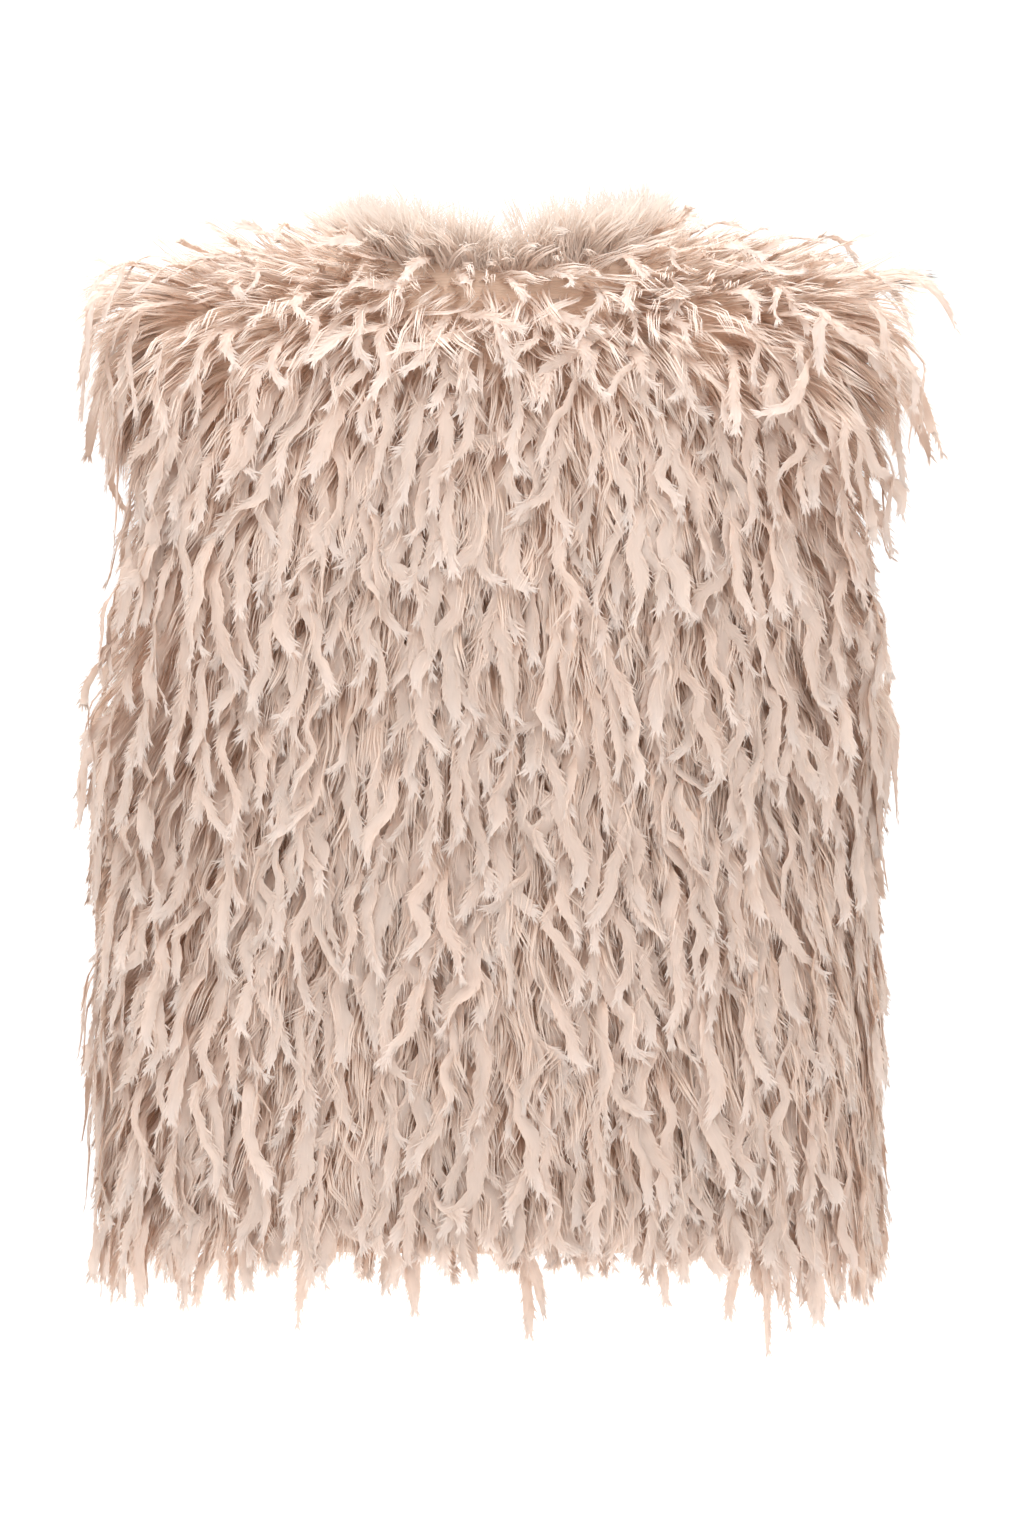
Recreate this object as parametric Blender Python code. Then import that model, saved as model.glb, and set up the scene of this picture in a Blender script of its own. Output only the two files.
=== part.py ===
"""Short sleeveless gilet in long shaggy pile cloth, hollow, as it hangs filled out on a wearer.

Metres, +Z up. The origin lies midway between the two points where the shoulder seams meet the
neck, where the wearer's shoulders carry the garment. The back faces -Y, the open front faces +Y.
Each panel is lofted through a short table of sections, from the hem up to its shoulder and neck
edge. The inner side of a panel's wall is the plain cloth, and its outer points follow the pile,
which lies in overlapping rows of locks. The locks that hang past an edge grow from narrow strips.
"""

import math
import random
from collections import namedtuple

import bmesh
import bpy
import numpy as np

# Driving sizes of the cut. A neck point is how far back or forward it lies and its height.
HEM_Z = -0.545
HEM_HALF_WIDTH = 0.198
HEM_HALF_DEPTH = 0.118
CHEST_HALF_WIDTH = 0.195
SHOULDER_NECK = (0.076, 0.004, 0.0)
SHOULDER_TIP = (0.197, 0.0, -0.034)
BACK_NECK = (-0.060, -0.010)
FRONT_NECK = (0.088, -0.094)
FRONT_OPENING = 0.010
SEAM_GAP = 0.0003
NECK_SHARE = 0.375
NECK_DIP_POWER = 1.4
ON_EDGE = 1e-6

# Pile: how far the locks stand off the cloth at their roots and at their tips
PILE_ROOT = 0.010
PILE_TIP = 0.022
LOCK_PITCH = 0.040
COLUMNS_PER_LOCK = 3
BACK_LOCKS_ACROSS = 16
FRONT_LOCKS_ACROSS = 8
TIP_AT = 0.36
TIP_DROP = 0.48
LOCK_FULLNESS = (0.22, 1.0, 0.86)
FULLNESS_SPREAD = (0.72, 1.08)
DROP_SPREAD = (-0.6, 0.6)

# Strips along the edges and the locks that hang from them
STRIP_INSIDE = 0.002
STRIP_OUTSIDE = 0.011
STRIP_DEPTH = 0.005
STRIP_SIDES = 4
LOCK_TAPERS = (0.86, 0.42)
LEAN_SHARES = (0.4, 0.6)
LIFT_SPREAD = (-0.06, 0.14)

PILE_COLOUR = (0.61, 0.46, 0.38, 1.0)
PILE_ROUGHNESS = 0.92

Wall = namedtuple("Wall", "inner outer at_neck")
Section = namedtuple("Section", "name centre_z edge_z edge_x edge_y centre_y squareness")

BACK_SECTIONS = (
    Section("hem", HEM_Z, HEM_Z, HEM_HALF_WIDTH, 0.0, -HEM_HALF_DEPTH, 2.5),
    Section("hip", -0.440, -0.440, 0.197, 0.0, -0.117, 2.5),
    Section("waist", -0.325, -0.325, 0.193, 0.0, -0.111, 2.5),
    Section("underarm", -0.225, -0.236, CHEST_HALF_WIDTH, 0.0, -0.112, 2.5),
    Section("armhole floor", -0.214, -0.230, 0.193, -0.020, -0.112, 2.45),
    Section("armhole low", -0.185, -0.206, 0.187, -0.040, -0.112, 2.4),
    Section("armhole middle", -0.125, -0.140, 0.180, -0.052, -0.107, 2.3),
    Section("armhole high", -0.076, -0.082, 0.185, -0.042, -0.095, 2.2),
    Section("armhole top", -0.047, -0.050, 0.191, -0.023, -0.081, 2.1),
)
FRONT_SECTIONS = (
    Section("hem", HEM_Z, HEM_Z, HEM_HALF_WIDTH, 0.0, HEM_HALF_DEPTH - 0.004, 2.5),
    Section("hip", -0.442, -0.440, 0.197, 0.0, 0.114, 2.5),
    Section("waist", -0.335, -0.325, 0.193, 0.0, 0.109, 2.5),
    Section("underarm", -0.255, -0.236, CHEST_HALF_WIDTH, 0.0, 0.112, 2.5),
    Section("armhole floor", -0.246, -0.230, 0.193, 0.021, 0.112, 2.45),
    Section("armhole low", -0.222, -0.206, 0.185, 0.043, 0.113, 2.4),
    Section("armhole middle", -0.178, -0.140, 0.176, 0.056, 0.111, 2.3),
    Section("armhole high", -0.140, -0.082, 0.182, 0.045, 0.104, 2.2),
    Section("armhole top", -0.116, -0.050, 0.190, 0.025, 0.096, 2.1),
)
UNDERARM_ROW = [section.name for section in BACK_SECTIONS].index("underarm")

# One row for each kind of edge that locks hang from. Every second face of its strip bears a lock, which
# goes in two runs, each a share of its length off the edge, outward and down.
Run = namedtuple("Run", "off out down")
EdgeLocks = namedtuple("EdgeLocks", "pitch gap shortest longest lean lifts root_side first last seed")
HEM_LOCKS = EdgeLocks(
    0.0068, 0.0003, 0.016, 0.050, 0.004, True, 2, Run(0.55, 0.0, 0.0), Run(0.45, 0.0, 0.0), 11
)
NECK_LOCKS = EdgeLocks(
    0.0062, 0.0010, 0.016, 0.026, 0.003, False, 1, Run(0.30, 0.52, 0.0), Run(0.05, 0.40, 0.0), 23
)
ARMHOLE_LOCKS = EdgeLocks(
    0.0050, 0.0006, 0.030, 0.056, 0.003, True, 2, Run(0.48, 0.07, 0.27), Run(0.16, 0.0, 0.42), 37
)
ARMHOLE_LOCKS_FROM_Z = -0.105


def unit(vectors):
    return vectors / np.linalg.norm(vectors, axis=-1, keepdims=True)


class Panel:
    """One cut panel's cloth. Its place across runs from the centre (0) to its edge (1, left -1)."""

    def __init__(self, sections, neck_centre, facing, opening):
        self.sections = sections
        self.neck_centre = neck_centre
        self.facing = facing
        self.half_opening = opening / 2
        middle = self.key_rows(np.array([0.5]))[:, 0]
        runs = np.linalg.norm(np.diff(middle, axis=0), axis=1)
        self.levels = np.concatenate([[0.0], np.cumsum(runs)]) / runs.sum()
        self.length = runs.sum()

    def key_rows(self, across):
        """The points of every section and of the shoulder and neck edge, at these places across."""
        side = np.where(across < 0, -1.0, 1.0)
        share = np.abs(across)
        rows = [self.section_row(section, side, share) for section in self.sections]
        return np.stack(rows + [self.top_row(side, share)])

    def section_row(self, section, side, share):
        angle = share * math.pi / 2
        power = 2 / section.squareness
        edge_y = section.edge_y + self.facing * SEAM_GAP / 2
        x = self.half_opening + (section.edge_x - self.half_opening) * np.sin(angle) ** power
        y = edge_y + (section.centre_y - edge_y) * np.abs(np.cos(angle)) ** power
        z = section.centre_z + (section.edge_z - section.centre_z) * share**2
        return np.stack([side * x, y, z], axis=1)

    def top_row(self, side, share):
        """The neck curve from the centre to the shoulder, then the straight shoulder seam."""
        neck_x, neck_y, neck_z = SHOULDER_NECK
        tip_x, tip_y, tip_z = SHOULDER_TIP
        turn = np.clip(share / NECK_SHARE, 0, 1) * math.pi / 2
        along = np.clip((share - NECK_SHARE) / (1 - NECK_SHARE), 0, 1)
        seam = self.facing * SEAM_GAP / 2
        centre_y, centre_z = self.neck_centre
        x = self.half_opening + (neck_x - self.half_opening) * np.sin(turn) + (tip_x - neck_x) * along
        y = neck_y + seam + (centre_y - neck_y - seam) * np.cos(turn) + (tip_y - neck_y) * along
        z = neck_z + (centre_z - neck_z) * np.cos(turn) ** NECK_DIP_POWER + (tip_z - neck_z) * along
        return np.stack([side * x, y, z], axis=1)

    def slopes(self, keys):
        """Slopes along the panel that never swing past a section, so that seams stay in their planes."""
        steps = np.diff(keys, axis=0) / np.diff(self.levels)[:, None, None]
        before, after = steps[:-1], steps[1:]
        same_way = before * after > 0
        total = np.where(same_way, before + after, 1.0)
        inner = np.where(same_way, 2 * before * after / total, 0.0)
        return np.concatenate([steps[:1], inner, steps[-1:]])

    def points(self, across, level):
        """Points on the cloth. across has one place a column, and level one row of heights a ring."""
        keys = self.key_rows(across)
        slopes = self.slopes(keys)
        segment = np.clip(np.searchsorted(self.levels, level, side="right") - 1, 0, len(self.levels) - 2)
        run = np.diff(self.levels)[segment][..., None]
        share = ((level - self.levels[segment]) / run[..., 0])[..., None]
        column = np.broadcast_to(np.arange(len(across)), level.shape)
        start, end = keys[segment, column], keys[segment + 1, column]
        start_slope, end_slope = slopes[segment, column] * run, slopes[segment + 1, column] * run
        return (
            start * (2 * share**3 - 3 * share**2 + 1)
            + start_slope * (share**3 - 2 * share**2 + share)
            + end * (3 * share**2 - 2 * share**3)
            + end_slope * (share**3 - share**2)
        )

    def tangents(self, across, level, step=1e-3):
        """Unit directions across towards +X, and up, at these places."""
        right = np.clip(across + step, -1, 1)
        left = np.clip(across - step, -1 if not self.half_opening else 0, 1)
        sideways = self.points(right, level) - self.points(left, level)
        above, below = np.clip(level + step, 0, 1), np.clip(level - step, 0, 1)
        upward = self.points(across, above) - self.points(across, below)
        return unit(sideways), unit(upward)

    def normals(self, across, level):
        """Outward normals. Along a seam they lie in the seam's own plane, so that panels never cross."""
        sideways, upward = self.tangents(across, level)
        outward = unit(np.cross(sideways, upward)) * -self.facing
        side = np.where(across < 0, -1.0, 1.0)
        share = np.broadcast_to(np.abs(across), level.shape)
        on_side_seam = (share > 1 - ON_EDGE) & (level <= self.levels[UNDERARM_ROW] + ON_EDGE)
        outward[on_side_seam] = 0.0
        outward[on_side_seam, 0] = np.broadcast_to(side, level.shape)[on_side_seam]
        on_shoulder = (level > 1 - ON_EDGE) & (share >= NECK_SHARE - ON_EDGE)
        rise = SHOULDER_NECK[2] - SHOULDER_TIP[2]
        run = SHOULDER_TIP[0] - SHOULDER_NECK[0]
        outward[on_shoulder, 0] = np.broadcast_to(side, level.shape)[on_shoulder] * rise
        outward[on_shoulder, 1] = 0.0
        outward[on_shoulder, 2] = run
        if self.half_opening:
            outward[share < ON_EDGE, 0] = 0.0
        return unit(outward)


BACK = Panel(BACK_SECTIONS, BACK_NECK, -1, 0.0)
FRONT = Panel(FRONT_SECTIONS, FRONT_NECK, 1, FRONT_OPENING)


def lock_rows(panel, columns, seed):
    """Heights and pile of a panel's outer rings: a thin ring below each row of locks, then their tips."""
    chance = random.Random(seed)
    count = round(panel.length / LOCK_PITCH)
    plain, levels, piles = [], [], []
    for row in range(count):
        place = np.arange(columns) + chance.randrange(COLUMNS_PER_LOCK)
        bulge = np.array(LOCK_FULLNESS)[place % COLUMNS_PER_LOCK]
        lock = place // COLUMNS_PER_LOCK
        fullness = np.array([chance.uniform(*FULLNESS_SPREAD) for _ in range(lock[-1] + 1)])[lock]
        drop = np.array([chance.uniform(*DROP_SPREAD) for _ in range(lock[-1] + 1)])[lock]
        drop[[0, -1]] = 0.0
        plain += [row / count, (row + TIP_AT) / count]
        levels += [np.full(columns, row / count), (row + TIP_AT - TIP_DROP * drop) / count]
        piles += [np.full(columns, PILE_ROOT), PILE_ROOT + (PILE_TIP - PILE_ROOT) * bulge * fullness]
    levels.append(np.ones(columns))
    piles.append(np.full(columns, (PILE_ROOT + PILE_TIP) / 2))
    return np.array(plain + [1.0]), np.array(levels), np.array(piles)


def new_object(name, bm, collection, parent):
    """A named object from a bmesh, with its faces outward and its own pile material."""
    bmesh.ops.recalc_face_normals(bm, faces=bm.faces)
    bmesh.ops.triangulate(bm, faces=bm.faces)
    mesh = bpy.data.meshes.new(name)
    bm.to_mesh(mesh)
    bm.free()
    material = bpy.data.materials.new(name + "_pile")
    material.use_nodes = True
    shader = material.node_tree.nodes["Principled BSDF"]
    shader.inputs["Base Color"].default_value = PILE_COLOUR
    shader.inputs["Roughness"].default_value = PILE_ROUGHNESS
    shader.inputs["Metallic"].default_value = 0.0
    mesh.materials.append(material)
    obj = bpy.data.objects.new(name, mesh)
    collection.objects.link(obj)
    obj.parent = parent


def split_back(bm, verts, way):
    """Closes one step of a wall's edge, folded back from the edge so that what lies on it stays clear."""
    if len(verts) > 4:
        bm.faces.new(verts)
        return
    first, second, third, fourth = verts
    rise = np.array((first.co + third.co) / 2 - (second.co + fourth.co) / 2) @ way
    if rise < 0:
        bm.faces.new((first, second, third))
        bm.faces.new((first, third, fourth))
    else:
        bm.faces.new((first, second, fourth))
        bm.faces.new((second, third, fourth))


def panel_wall(name, panel, across, seed, sign, collection, parent):
    """A panel's wall: rings of outer pile points and fewer plain inner points, lofted and closed."""
    plain, level, pile = lock_rows(panel, len(across), seed)
    columns = [
        column
        for column in range(len(across))
        if column % COLUMNS_PER_LOCK == 0 or abs(across[column]) < NECK_SHARE + ON_EDGE
    ]
    hand = np.array([sign, 1.0, 1.0])
    outer = (panel.points(across, level) + panel.normals(across, level) * pile[..., None]) * hand
    inner = panel.points(across[columns], np.repeat(plain[:, None], len(columns), axis=1)) * hand
    bm = bmesh.new()
    outside = [[bm.verts.new(point) for point in ring] for ring in outer]
    inside = [[bm.verts.new(point) for point in ring] for ring in inner]
    for lower, upper in zip(range(len(level) - 1), range(1, len(level))):
        for grid in (outside, inside):
            for left in range(len(grid[0]) - 1):
                bm.faces.new(
                    (grid[lower][left], grid[lower][left + 1], grid[upper][left + 1], grid[upper][left])
                )
        for edge, beside in ((0, 1), (-1, -2)):
            way = inner[lower, edge] - inner[lower, beside]
            quad = (outside[lower][edge], inside[lower][edge], inside[upper][edge], outside[upper][edge])
            split_back(bm, quad, way)
    for ring, behind in ((0, 1), (-1, -2)):
        for left in range(len(columns) - 1):
            way = inner[ring, left] - inner[behind, left]
            over = outside[ring][columns[left] : columns[left + 1] + 1]
            split_back(bm, (inside[ring][left], inside[ring][left + 1], *reversed(over)), way)
    new_object(name, bm, collection, parent)
    at_neck = np.abs(across[columns]) < NECK_SHARE + ON_EDGE
    return Wall(inner, outer[:, columns], at_neck)


def hem_edge(wall):
    """Along a wall's hem: the cloth's points, the pile's points over them and the way off the edge."""
    return wall.inner[0], wall.outer[0], np.tile([0.0, 0.0, -1.0], (len(wall.inner[0]), 1))


def neck_edge(wall):
    inner = wall.inner[:, wall.at_neck]
    return inner[-1], wall.outer[-1, wall.at_neck], unit(inner[-1] - inner[-2])


def armhole_edge(wall, column, beside):
    """Up a wall's armhole edge, from where its overhanging locks start to the shoulder tip."""
    rings = wall.inner[:, column, 2] > ARMHOLE_LOCKS_FROM_Z
    edge = wall.inner[rings, column]
    return edge, wall.outer[rings, column], unit(edge - wall.inner[rings, beside])


def joined(*edges):
    """Edges of neighbouring walls end to end, without the doubled point at each seam."""
    kept = [edges[0]] + [tuple(part[1:] for part in edge) for edge in edges[1:]]
    return tuple(np.concatenate(parts) for parts in zip(*kept))


def turned(edge):
    return tuple(part[::-1] for part in edge)


def evenly(edge, pitch):
    """An edge parted at about this pitch: its points, the way off it and its outward normal."""
    points, over, ways = edge
    runs = np.linalg.norm(np.diff(points, axis=0), axis=1)
    parts = [max(1, round(run / pitch)) for run in runs]
    steps = [index + np.arange(count) / count for index, count in enumerate(parts)]
    at = np.concatenate(steps + [[len(parts)]])

    def read(values):
        whole = np.arange(len(points))
        return np.stack([np.interp(at, whole, column) for column in values.T], axis=1)

    normals = unit(read(over) - read(points))
    square = unit(np.cross(normals, unit(np.gradient(read(points), axis=0))))
    square *= np.sign((square * read(ways)).sum(axis=1, keepdims=True))
    return read(points), square, normals


def edge_locks(kind, name, edge, collection, parent):
    """A narrow strip along an edge, with a tapered lock grown from every second face of it."""
    points, ways, normals = evenly(edge, kind.pitch)
    bm = bmesh.new()
    corners = (
        (kind.gap, STRIP_INSIDE),
        (kind.gap, STRIP_OUTSIDE),
        (kind.gap + STRIP_DEPTH, STRIP_OUTSIDE),
        (kind.gap + STRIP_DEPTH, STRIP_INSIDE),
    )
    rings = [
        [bm.verts.new(point + way * off + normal * out) for off, out in corners]
        for point, way, normal in zip(points, ways, normals)
    ]
    roots = []
    for index in range(len(rings) - 1):
        for side in range(STRIP_SIDES):
            beside = (side + 1) % STRIP_SIDES
            face = bm.faces.new(
                (rings[index][side], rings[index][beside], rings[index + 1][beside], rings[index + 1][side])
            )
            if side == kind.root_side and index % 2 == 1:
                roots.append((face, index))
    bm.faces.new(rings[0])
    bm.faces.new(reversed(rings[-1]))
    bmesh.ops.recalc_face_normals(bm, faces=bm.faces)
    chance = random.Random(kind.seed)
    for face, index in roots:
        along = unit(points[index + 1] - points[index])
        grow_lock(bm, face, kind, along, ways[index], normals[index], chance)
    new_object(name, bm, collection, parent)


def grow_lock(bm, face, kind, along, way, normal, chance):
    """Extrudes one face of a strip into a lock of two runs, thinner at the second."""
    length = chance.uniform(kind.shortest, kind.longest)
    sway = along * chance.uniform(-kind.lean, kind.lean)
    sway += normal * chance.uniform(*LIFT_SPREAD) * length * kind.lifts
    for run, taper, share in zip((kind.first, kind.last), LOCK_TAPERS, LEAN_SHARES):
        face = bmesh.ops.extrude_discrete_faces(bm, faces=[face])["faces"][0]
        middle = np.array(face.calc_center_median())
        step = way * run.off + normal * run.out - np.array([0.0, 0.0, run.down])
        for vert in face.verts:
            vert.co = middle + step * length + sway * share + (np.array(vert.co) - middle) * taper


def main():
    for obj in list(bpy.data.objects):
        bpy.data.objects.remove(obj)
    collection = bpy.data.collections.new("gilet")
    bpy.context.scene.collection.children.link(collection)
    origin = bpy.data.objects.new("gilet_origin", None)
    collection.objects.link(origin)

    back_across = np.linspace(-1, 1, BACK_LOCKS_ACROSS * COLUMNS_PER_LOCK + 1)
    front_across = np.linspace(0, 1, FRONT_LOCKS_ACROSS * COLUMNS_PER_LOCK + 1)
    back = panel_wall("back", BACK, back_across, 3, 1, collection, origin)
    left = panel_wall("front_left", FRONT, front_across, 5, -1, collection, origin)
    right = panel_wall("front_right", FRONT, front_across, 7, 1, collection, origin)

    hem = joined(hem_edge(left), hem_edge(back), turned(hem_edge(right)))
    edge_locks(HEM_LOCKS, "hem_locks", hem, collection, origin)
    neck = joined(neck_edge(left), neck_edge(back), turned(neck_edge(right)))
    edge_locks(NECK_LOCKS, "neck_locks", neck, collection, origin)
    for hand, column, beside in (("left", 0, 1), ("right", -1, -2)):
        armhole = armhole_edge(back, column, beside)
        edge_locks(ARMHOLE_LOCKS, "armhole_locks_" + hand, armhole, collection, origin)


main()
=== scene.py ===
# Shaggy fur gilet seen from behind: backing cloth, undercoat, wavy ribbon locks and a white studio
import math

import bpy
import numpy as np
from mathutils.bvhtree import BVHTree
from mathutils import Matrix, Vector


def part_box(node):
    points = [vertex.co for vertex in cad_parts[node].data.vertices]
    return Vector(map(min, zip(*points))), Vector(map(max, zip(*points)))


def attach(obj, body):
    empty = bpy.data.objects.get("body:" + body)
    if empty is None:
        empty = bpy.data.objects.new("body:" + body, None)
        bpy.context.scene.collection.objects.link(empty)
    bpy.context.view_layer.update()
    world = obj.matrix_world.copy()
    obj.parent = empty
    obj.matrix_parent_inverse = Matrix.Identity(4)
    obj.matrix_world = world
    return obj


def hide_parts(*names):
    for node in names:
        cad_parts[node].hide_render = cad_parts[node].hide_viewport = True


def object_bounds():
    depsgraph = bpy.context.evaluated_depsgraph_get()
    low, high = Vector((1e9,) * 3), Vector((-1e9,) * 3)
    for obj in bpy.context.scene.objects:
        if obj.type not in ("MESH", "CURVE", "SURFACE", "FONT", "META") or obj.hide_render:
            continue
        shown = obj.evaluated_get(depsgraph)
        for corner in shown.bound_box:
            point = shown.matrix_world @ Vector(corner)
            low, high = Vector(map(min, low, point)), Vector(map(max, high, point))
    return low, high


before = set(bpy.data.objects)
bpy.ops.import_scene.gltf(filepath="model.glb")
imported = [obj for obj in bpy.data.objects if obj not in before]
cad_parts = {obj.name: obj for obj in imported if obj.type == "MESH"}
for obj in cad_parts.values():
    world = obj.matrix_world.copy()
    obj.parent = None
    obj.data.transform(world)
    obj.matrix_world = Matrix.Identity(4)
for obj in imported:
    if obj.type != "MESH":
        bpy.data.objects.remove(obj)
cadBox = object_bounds()
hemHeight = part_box("back")[0][2]
print("frame loaded, hem at", round(hemHeight, 3))


# small helpers

def deselectAll():
    if bpy.context.object and bpy.context.object.mode != "OBJECT":
        bpy.ops.object.mode_set(mode="OBJECT")
    bpy.ops.object.select_all(action="DESELECT")


def makeActive(piece):
    deselectAll()
    piece.select_set(True)
    bpy.context.view_layer.objects.active = piece


def unit(vectors):
    return vectors / np.maximum(np.linalg.norm(vectors, axis=-1, keepdims=True), 1e-12)


def dot(first, second):
    return (first * second).sum(axis=-1, keepdims=True)


def ease(low, high, values):
    share = np.clip((values - low) / (high - low), 0, 1)
    return share * share * (3 - 2 * share)


def turnAround(vectors, axes, angles):
    angles = angles[..., None]
    along = axes * dot(axes, vectors)
    return along + (vectors - along) * np.cos(angles) + np.cross(axes, vectors) * np.sin(angles)


# shader maths

class Wire:
    # a socket that takes part in Python sums
    def __init__(self, board, socket):
        self.board = board
        self.socket = socket

    def maths(self, operation, first, second=0.0):
        return self.board.add("ShaderNodeMath", {"operation": operation}, {0: first, 1: second})

    def __add__(self, other):
        return self.maths("ADD", self, other)

    def __radd__(self, other):
        return self.maths("ADD", other, self)

    def __sub__(self, other):
        return self.maths("SUBTRACT", self, other)

    def __rsub__(self, other):
        return self.maths("SUBTRACT", other, self)

    def __mul__(self, other):
        return self.maths("MULTIPLY", self, other)

    def __rmul__(self, other):
        return self.maths("MULTIPLY", other, self)

    def floor(self):
        return self.maths("FLOOR", self)

    def between(self, low, high):
        settings = {"interpolation_type": "SMOOTHSTEP"}
        inputs = {"Value": self, "From Min": low, "From Max": high}
        return self.board.add("ShaderNodeMapRange", settings, inputs)


class Board:
    # one material's node tree
    def __init__(self, name, constants):
        self.material = bpy.data.materials.new(name)
        self.material.use_nodes = True
        self.tree = self.material.node_tree
        self.shader = self.tree.nodes["Principled BSDF"]
        for socket, value in constants.items():
            self.shader.inputs[socket].default_value = value

    def add(self, nodeType, settings=None, inputs=None, output=0):
        node = self.tree.nodes.new(nodeType)
        for key, value in (settings or {}).items():
            setattr(node, key, value)
        for key, value in (inputs or {}).items():
            if isinstance(value, Wire):
                self.tree.links.new(value.socket, node.inputs[key])
            else:
                node.inputs[key].default_value = value
        return Wire(self, node.outputs[output])

    def mix(self, share, first, second, blend="MIX"):
        # a colour mix has its factor in socket 0, its colours in 6 and 7 and its result in 2
        settings = {"data_type": "RGBA", "blend_type": blend}
        return self.add("ShaderNodeMix", settings, {0: share, 6: first, 7: second}, 2)

    def drive(self, socket, wire):
        self.tree.links.new(wire.socket, self.shader.inputs[socket])

    def letThrough(self, share, colour):
        # thin hair passes some of the light that falls on its other side
        glow = self.add("ShaderNodeBsdfTranslucent", None, {"Color": colour})
        plain = Wire(self, self.shader.outputs[0])
        surface = self.add("ShaderNodeMixShader", None, {0: share, 1: plain, 2: glow})
        self.tree.links.new(surface.socket, self.tree.nodes["Material Output"].inputs["Surface"])


# fur colour runs along each lock: u picks the lock's tone and its fibres, v goes from root to tip; the
# warmer, more saturated root colour is partly the fur's own and partly painted warm shade in the gaps
# between locks

locksFinish = {
    "root": (0.87, 0.65, 0.51, 1),
    "body": (0.775, 0.672, 0.60, 1),
    "tip": (0.83, 0.76, 0.71, 1),
    "rosy": (0.78, 0.657, 0.578, 1),
    "through": (0.88, 0.742, 0.648, 1),
    "throughShare": 0.5,
    "rootEnd": (0.0, 0.42),
    "tipStart": (0.80, 1.0),
    "tipShare": 0.8,
    "rosyShare": 0.7,
    "toneSeed": 0.5,
    "rosySeed": 91.5,
    "toneSpread": 0.12,
    "fibres": 7.0,
    "fibreLength": 9.0,
    "fibreDetail": 2.0,
    "fibreShade": 0.30,
    "constants": {"Roughness": 0.9, "Specular IOR Level": 0.0},
}
undercoatFinish = dict(
    locksFinish,
    root=(0.86, 0.648, 0.515, 1),
    body=(0.84, 0.698, 0.60, 1),
    tip=(0.92, 0.84, 0.78, 1),
    rosy=(0.84, 0.682, 0.578, 1),
    through=(0.875, 0.732, 0.633, 1),
    rootEnd=(0.0, 0.55),
    tipStart=(0.55, 1.0),
    fibres=2.0,
)
# the neck fluff's colours: a paler, more neutral copy of the undercoat, painted light for the top of the
# coat as if lit from above, with the palest colour at the roots as painted light over the shade at the
# fluff's base
litFluffFinish = dict(
    undercoatFinish,
    root=(0.95, 0.84, 0.76, 1),
    body=(0.88, 0.775, 0.70, 1),
    tip=(0.79, 0.715, 0.66, 1),
    rosy=(0.86, 0.75, 0.675, 1),
    through=(0.86, 0.755, 0.675, 1),
)
toneCells = 64


def furMaterial(name, finish):
    board = Board(name, finish["constants"])
    place = board.add("ShaderNodeUVMap", {"uv_map": "OFBake"})
    across = board.add("ShaderNodeSeparateXYZ", None, {0: place}, "X")
    along = board.add("ShaderNodeSeparateXYZ", None, {0: place}, "Y")
    cell = (across * toneCells).floor()
    noise = {"noise_dimensions": "1D"}
    tone = board.add("ShaderNodeTexWhiteNoise", noise, {"W": cell + finish["toneSeed"]})
    blush = board.add("ShaderNodeTexWhiteNoise", noise, {"W": cell + finish["rosySeed"]})
    strand = {"X": across * toneCells * finish["fibres"], "Y": along * finish["fibreLength"], "Z": cell}
    strandPlace = board.add("ShaderNodeCombineXYZ", None, strand)
    fibreInputs = {"Vector": strandPlace, "Scale": 1.0, "Detail": finish["fibreDetail"]}
    fibre = board.add("ShaderNodeTexNoise", {"noise_dimensions": "3D"}, fibreInputs)
    # warmer colour towards the root: partly the fur's own, partly painted shade in the gaps between locks
    pastRoot = along.between(*finish["rootEnd"])
    plain = board.mix(pastRoot, finish["root"], finish["body"])
    rosy = board.mix(pastRoot, finish["root"], finish["rosy"])
    colour = board.mix(blush * finish["rosyShare"], plain, rosy)
    colour = board.mix(along.between(*finish["tipStart"]) * finish["tipShare"], colour, finish["tip"])
    shade = (tone - 0.5) * finish["toneSpread"] + (fibre - 0.5) * finish["fibreShade"] + 1.0
    bright = board.add("ShaderNodeCombineXYZ", None, {0: shade, 1: shade, 2: shade})
    board.drive("Base Color", board.mix(1.0, colour, bright, "MULTIPLY"))
    board.letThrough(finish["throughShare"], finish["through"])
    return board.material


clothFinish = {
    "back": (0.66, 0.47, 0.355, 1),
    "light": (0.75, 0.57, 0.455, 1),
    "rowsPerMetre": 640.0,
    "rowShare": 0.35,
    "patchShare": 0.6,
    "patchScale": 60.0,
    "patchDetail": 4.0,
    "bump": 0.4,
    "bumpDepth": 0.0005,
    "constants": {
        "Roughness": 0.93,
        "Specular IOR Level": 0.12,
        "Sheen Weight": 0.25,
        "Sheen Roughness": 0.5,
    },
}


def clothMaterial(name, finish):
    # plain knitted backing: fine rows with a little unevenness
    board = Board(name, finish["constants"])
    place = board.add("ShaderNodeTexCoord", None, None, "Object")
    height = board.add("ShaderNodeSeparateXYZ", None, {0: place}, "Z")
    row = height * finish["rowsPerMetre"] * math.tau
    ribs = row.maths("SINE", row) * 0.5 + 0.5
    patchInputs = {"Vector": place, "Scale": finish["patchScale"], "Detail": finish["patchDetail"]}
    patch = board.add("ShaderNodeTexNoise", None, patchInputs)
    lighter = ribs * finish["rowShare"] + patch * finish["patchShare"]
    board.drive("Base Color", board.mix(lighter, finish["back"], finish["light"]))
    relief = {"Strength": finish["bump"], "Distance": finish["bumpDepth"], "Height": ribs + patch}
    board.drive("Normal", board.add("ShaderNodeBump", None, relief))
    return board.material


# backing cloth: the plain inner side of each panel's wall, smoothed and given its thickness

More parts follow.
